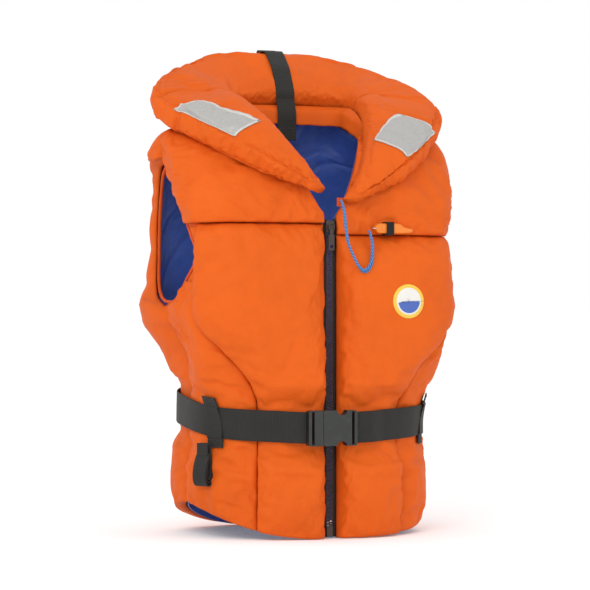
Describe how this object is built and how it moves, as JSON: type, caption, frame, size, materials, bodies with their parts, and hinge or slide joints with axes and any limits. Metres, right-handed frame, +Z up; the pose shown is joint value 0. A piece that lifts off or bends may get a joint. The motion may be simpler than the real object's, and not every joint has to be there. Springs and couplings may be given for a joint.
{
  "type": "life jacket",
  "caption": "Foam life jacket: padded front-zip vest with stuffed horseshoe collar, belt with side-release buckle, whistle on a lanyard and reflective tape",
  "frame": {"origin": "centre of the footprint at hem height, the level that the jacket stands on", "axes": "+Z up along the body, the front with the zip faces -Y, +X towards the wearer's left"},
  "size_m": [0.4008, 0.2842, 0.6449],
  "materials": {
    "shell_fabric": "woven coated nylon, orange, soft satin sheen, puckered at the seams",
    "lining_satin": "blue satin lining cloth with soft folds",
    "foam": "closed-cell buoyancy foam, matte, hidden inside the covers",
    "reflective_tape": "grey retroreflective tape with a fine cell pattern and a paler border",
    "zip_fabric": "black woven zip tape",
    "zip_plastic": "moulded dark plastic zip teeth and slider",
    "webbing": "black polypropylene webbing with a ribbed weave",
    "buckle_plastic": "moulded black plastic with a fine grain",
    "whistle_plastic": "glossy orange moulded plastic",
    "ring_steel": "small steel split ring",
    "lanyard_cord": "blue braided cord",
    "patch_fabric": "plain woven round patch with a stitched rim"
  },
  "bodies": {
    "jacket": {"back_lining": "lining_satin", "back_foam": "foam", "back_cover": "shell_fabric", "right_front_lining": "lining_satin", "left_front_lining": "lining_satin", "right_front_foam": "foam", "left_front_foam": "foam", "right_front_cover": "shell_fabric", "left_front_cover": "shell_fabric", "right_side_gusset": "shell_fabric", "left_side_gusset": "shell_fabric", "right_yoke": "shell_fabric", "left_yoke": "shell_fabric", "right_armhole_binding": "shell_fabric", "left_armhole_binding": "shell_fabric", "right_lapel_top": "shell_fabric", "left_lapel_top": "shell_fabric", "right_lapel_wall": "shell_fabric", "left_lapel_wall": "shell_fabric", "right_lapel_foam": "foam", "left_lapel_foam": "foam", "collar_inner_panel": "shell_fabric", "collar_outer_panel": "shell_fabric", "collar_foam": "foam", "neck_band": "shell_fabric", "collar_strap": "webbing", "right_reflective_tape": "reflective_tape", "left_reflective_tape": "reflective_tape", "right_zip_tape": "zip_fabric", "left_zip_tape": "zip_fabric", "right_zip_teeth": "zip_plastic", "left_zip_teeth": "zip_plastic", "zip_end_box": "zip_plastic", "belt_back": "webbing", "belt_front_left": "webbing", "belt_front_right": "webbing", "right_belt_loop": "webbing", "left_belt_loop": "webbing", "buckle_socket": "buckle_plastic", "bundle_hanger": "webbing", "whistle_loop": "webbing", "lanyard_anchor": "shell_fabric", "round_patch": "patch_fabric"},
    "slider": {"zip_slider": "zip_plastic"},
    "pull_tab": {"zip_pull_tab": "zip_plastic"},
    "buckle_plug": {"buckle_plug": "buckle_plastic"},
    "upper_prong": {"buckle_upper_prong": "buckle_plastic"},
    "lower_prong": {"buckle_lower_prong": "buckle_plastic"},
    "whistle": {"whistle": "whistle_plastic", "whistle_ring": "ring_steel", "lanyard_left_strand": "lanyard_cord", "lanyard_right_strand": "lanyard_cord"},
    "strap_bundle": {"strap_bundle": "webbing"}
  },
  "joints": [
    {"name": "zip_slide", "type": "slide", "parent": "jacket", "child": "slider", "axis": [0, 0, -1], "range_m": [0, 0.19]},
    {"name": "pull_tab_swing", "type": "hinge", "parent": "slider", "child": "pull_tab", "pos_m": [0, -0.1149, 0.397], "axis": [-1, 0, 0], "range_deg": [0, 100]},
    {"name": "buckle_release", "type": "slide", "parent": "jacket", "child": "buckle_plug", "axis": [-1, 0, 0], "range_m": [0, 0.04], "deforming": ["belt_front_right"]},
    {"name": "upper_prong_press", "type": "hinge", "parent": "buckle_plug", "child": "upper_prong", "pos_m": [-0.0171, -0.1327, 0.152], "axis": [0, 1, 0], "range_deg": [0, 9], "stiffness_Nm_per_rad": 0.05},
    {"name": "lower_prong_press", "type": "hinge", "parent": "buckle_plug", "child": "lower_prong", "pos_m": [-0.0171, -0.1327, 0.13], "axis": [0, -1, 0], "range_deg": [0, 9], "stiffness_Nm_per_rad": 0.05},
    {"name": "whistle_pull", "type": "slide", "parent": "jacket", "child": "whistle", "axis": [-0.9962, -0.0872, 0], "range_m": [0, 0.035], "deforming": ["lanyard_left_strand", "lanyard_right_strand"]},
    {"name": "bundle_swing", "type": "hinge", "parent": "jacket", "child": "strap_bundle", "pos_m": [-0.15482, -0.06571, 0.10491], "axis": [-0.5517, 0.8341, 0], "range_deg": [0, 20]}
  ],
  "couplings": [
    {"joint": "lower_prong_press", "follows": "upper_prong_press", "ratio": 1}
  ]
}
